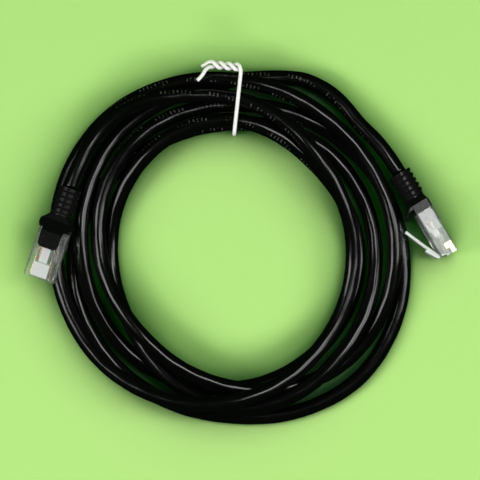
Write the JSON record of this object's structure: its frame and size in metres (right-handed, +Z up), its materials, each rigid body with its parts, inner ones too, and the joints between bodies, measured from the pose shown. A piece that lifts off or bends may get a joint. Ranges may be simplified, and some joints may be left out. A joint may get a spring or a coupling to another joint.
{
  "type": "ethernet patch cable",
  "caption": "Network patch cable wound into a ring and held by a twist tie, with a clear modular plug and a ribbed snagless boot on each end.",
  "frame": {"origin": "centre of the overall bounding box in X and Y, at the surface the ring lies on", "axes": "+X across the ring towards the right plug, +Y towards the twist tie, +Z up from the surface"},
  "size_m": [0.1627, 0.1368, 0.0242],
  "materials": {
    "jacket": "smooth glossy black PVC",
    "boot": "satin black moulded PVC",
    "clear_plastic": "clear polycarbonate",
    "contact": "gold-plated",
    "copper": "bare copper",
    "tie_coating": "smooth white plastic",
    "tie_wire": "plain steel wire",
    "wire_white_orange": "smooth coloured insulation",
    "wire_orange": "smooth coloured insulation",
    "wire_white_green": "smooth coloured insulation",
    "wire_blue": "smooth coloured insulation",
    "wire_white_blue": "smooth coloured insulation",
    "wire_green": "smooth coloured insulation",
    "wire_white_brown": "smooth coloured insulation",
    "wire_brown": "smooth coloured insulation"
  },
  "bodies": {
    "cable": {"cable_coil": "jacket", "cable_lead_a": "jacket", "cable_lead_b": "jacket", "twist_tie_coating": "tie_coating", "twist_tie_wire": "tie_wire", "plug_a_housing": "clear_plastic", "plug_a_boot": "boot", "plug_a_load_bar": "clear_plastic", "plug_a_jacket_clamp": "clear_plastic", "plug_a_jacket_end": "jacket", "plug_a_cores": "copper", "plug_a_wire_1": "wire_white_orange", "plug_a_contact_1": "contact", "plug_a_wire_2": "wire_orange", "plug_a_contact_2": "contact", "plug_a_wire_3": "wire_white_green", "plug_a_contact_3": "contact", "plug_a_wire_4": "wire_blue", "plug_a_contact_4": "contact", "plug_a_wire_5": "wire_white_blue", "plug_a_contact_5": "contact", "plug_a_wire_6": "wire_green", "plug_a_contact_6": "contact", "plug_a_wire_7": "wire_white_brown", "plug_a_contact_7": "contact", "plug_a_wire_8": "wire_brown", "plug_a_contact_8": "contact", "plug_b_housing": "clear_plastic", "plug_b_boot": "boot", "plug_b_load_bar": "clear_plastic", "plug_b_jacket_clamp": "clear_plastic", "plug_b_jacket_end": "jacket", "plug_b_cores": "copper", "plug_b_wire_1": "wire_white_orange", "plug_b_contact_1": "contact", "plug_b_wire_2": "wire_orange", "plug_b_contact_2": "contact", "plug_b_wire_3": "wire_white_green", "plug_b_contact_3": "contact", "plug_b_wire_4": "wire_blue", "plug_b_contact_4": "contact", "plug_b_wire_5": "wire_white_blue", "plug_b_contact_5": "contact", "plug_b_wire_6": "wire_green", "plug_b_contact_6": "contact", "plug_b_wire_7": "wire_white_brown", "plug_b_contact_7": "contact", "plug_b_wire_8": "wire_brown", "plug_b_contact_8": "contact"},
    "latch_a": {"plug_a_latch": "clear_plastic"},
    "latch_b": {"plug_b_latch": "clear_plastic"}
  },
  "joints": [
    {"name": "latch_a_flex", "type": "hinge", "parent": "cable", "child": "latch_a", "pos_m": [-0.0756, -0.01235, 0.01824], "axis": [-0.9417, 0.3292, -0.0698], "range_deg": [0, 15], "stiffness_Nm_per_rad": 0.06},
    {"name": "latch_b_flex", "type": "hinge", "parent": "cable", "child": "latch_b", "pos_m": [0.07409, -0.00559, 0.00784], "axis": [-0.0746, -0.0451, -0.9962], "range_deg": [0, 15], "stiffness_Nm_per_rad": 0.06}
  ]
}
